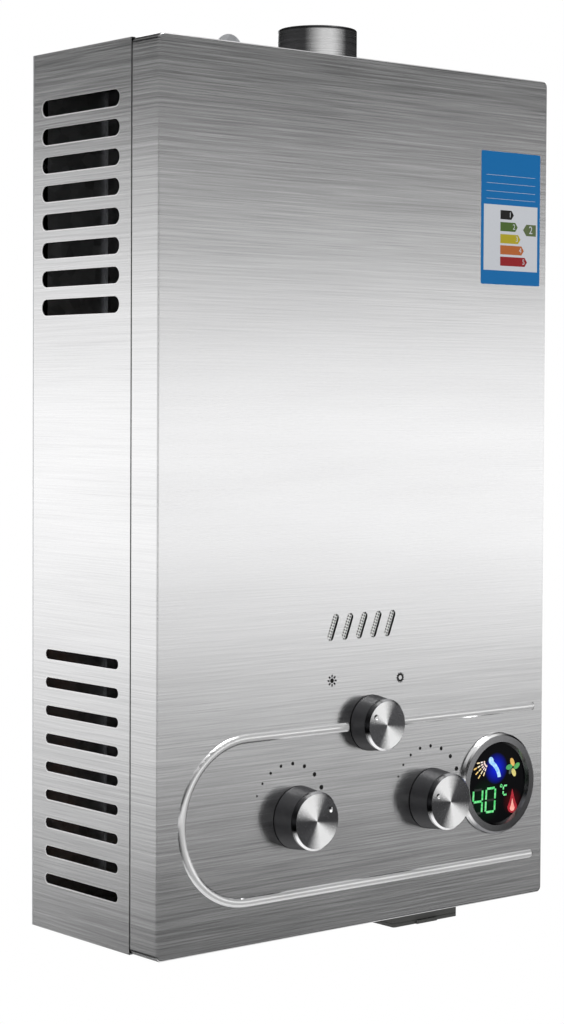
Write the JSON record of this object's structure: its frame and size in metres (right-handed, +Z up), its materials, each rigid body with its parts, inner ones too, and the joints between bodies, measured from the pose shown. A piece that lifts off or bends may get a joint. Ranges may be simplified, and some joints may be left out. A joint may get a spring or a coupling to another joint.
{
  "type": "gas tankless water heater",
  "caption": "Wall-hung gas tankless water heater with a brushed steel casing, round flue collar, control knobs, round display and battery box.",
  "frame": {"origin": "centre of the hanging hole of the back plate, on the wall plane", "axes": "+Z up, the front faces -Y, X to the right, the wall is the plane Y = 0"},
  "size_m": [0.428, 0.208, 0.7916],
  "materials": {
    "stainless_sheet": "brushed stainless sheet",
    "galvanised_sheet": "galvanised sheet",
    "zinc_screws": "zinc-plated",
    "perforated_steel": "perforated sheet",
    "polished_steel": "polished sheet",
    "copper": "bare copper",
    "copper_fins": "bare copper fins",
    "burner_steel": "heat-tinted stainless",
    "cast_aluminium": "die cast",
    "brass": "machined brass",
    "black_plastic": "moulded, satin",
    "spun_metal": "spun and polished",
    "steel_parts": "turned steel",
    "rubber": "moulded rubber",
    "white_ceramic": "fired ceramic",
    "silicone_lead": "silicone sleeve",
    "dark_plastic": "moulded, matt",
    "cell_wrap": "wrapped steel can",
    "display_metal": "dark polished ring",
    "display_glass": "tinted glass",
    "board": "circuit board"
  },
  "bodies": {
    "casing": {"back_plate": "galvanised_sheet", "side_panel_left": "stainless_sheet", "side_panel_right": "stainless_sheet", "top_plate": "stainless_sheet", "bottom_plate": "galvanised_sheet", "front_cover": "stainless_sheet", "casing_screws": "zinc_screws", "viewing_screen": "perforated_steel", "flue_collar": "polished_steel", "smoke_hood": "galvanised_sheet", "combustion_chamber": "copper", "exchanger_fins": "copper_fins", "exchanger_tubes": "copper", "chamber_coil": "copper", "overheat_thermostat": "spun_metal", "burner_frame": "burner_steel", "burner_bars": "burner_steel", "gas_manifold": "cast_aluminium", "gas_injectors": "brass", "gas_valve_body": "cast_aluminium", "gas_solenoid": "dark_plastic", "poppet_spring": "steel_parts", "gas_riser": "copper", "water_valve_body": "brass", "water_valve_cover": "brass", "diaphragm": "rubber", "diaphragm_screws": "zinc_screws", "flow_switch": "dark_plastic", "gas_inlet": "brass", "cold_inlet": "brass", "hot_outlet": "brass", "connection_nuts": "brass", "supply_pipe": "copper", "hot_pipe": "copper", "drain_valve": "dark_plastic", "electrodes": "white_ceramic", "electrode_leads": "silicone_lead", "igniter_box": "dark_plastic", "battery_case": "dark_plastic", "battery_hinge_pin": "steel_parts", "battery_cells": "cell_wrap", "battery_contacts": "steel_parts", "display_bezel": "display_metal", "display_lens": "display_glass", "display_board": "board", "display_housing": "dark_plastic"},
    "gas_knob_set": {"gas_knob": "black_plastic", "gas_knob_cap": "spun_metal", "gas_plug": "brass"},
    "water_knob_set": {"water_knob": "black_plastic", "water_knob_cap": "spun_metal", "water_spindle": "brass"},
    "season_knob_set": {"season_knob": "black_plastic", "season_knob_cap": "spun_metal", "season_plug": "brass"},
    "needle": {"water_needle": "brass"},
    "push_rod_set": {"push_rod": "steel_parts"},
    "poppet": {"gas_poppet": "rubber"},
    "lever": {"switch_lever": "steel_parts"},
    "door": {"battery_door": "dark_plastic"}
  },
  "joints": [
    {"name": "gas_knob_turn", "type": "hinge", "parent": "casing", "child": "gas_knob_set", "pos_m": [-0.0704, -0.184, -0.646], "axis": [0, -1, 0], "range_deg": [-8, 127]},
    {"name": "water_knob_turn", "type": "hinge", "parent": "casing", "child": "water_knob_set", "pos_m": [0.0787, -0.184, -0.646], "axis": [0, -1, 0], "range_deg": [-134, 0]},
    {"name": "season_knob_turn", "type": "hinge", "parent": "casing", "child": "season_knob_set", "pos_m": [0.009, -0.184, -0.5752], "axis": [0, -1, 0], "range_deg": [-100, 0]},
    {"name": "needle_slide", "type": "slide", "parent": "casing", "child": "needle", "axis": [0, -1, 0], "range_m": [0, 0.003]},
    {"name": "push_rod_slide", "type": "slide", "parent": "casing", "child": "push_rod_set", "axis": [-1, 0, 0], "range_m": [0, 0.004], "stiffness_N_per_m": 400, "springref_m": -0.002},
    {"name": "poppet_slide", "type": "slide", "parent": "casing", "child": "poppet", "axis": [-1, 0, 0], "range_m": [0, 0.004], "deforming": ["poppet_spring"]},
    {"name": "lever_swing", "type": "hinge", "parent": "casing", "child": "lever", "pos_m": [-0.004, -0.106, -0.6257], "axis": [0, 1, 0], "range_deg": [0, 16]},
    {"name": "battery_door_swing", "type": "hinge", "parent": "casing", "child": "door", "pos_m": [0.1105, -0.1006, -0.7582], "axis": [1, 0, 0], "range_deg": [0, 95]}
  ],
  "couplings": [
    {"joint": "needle_slide", "follows": "water_knob_turn", "m_per_rad": -0.00128},
    {"joint": "poppet_slide", "follows": "push_rod_slide", "ratio": 1},
    {"joint": "lever_swing", "follows": "push_rod_slide", "rad_per_m": 67.1}
  ]
}
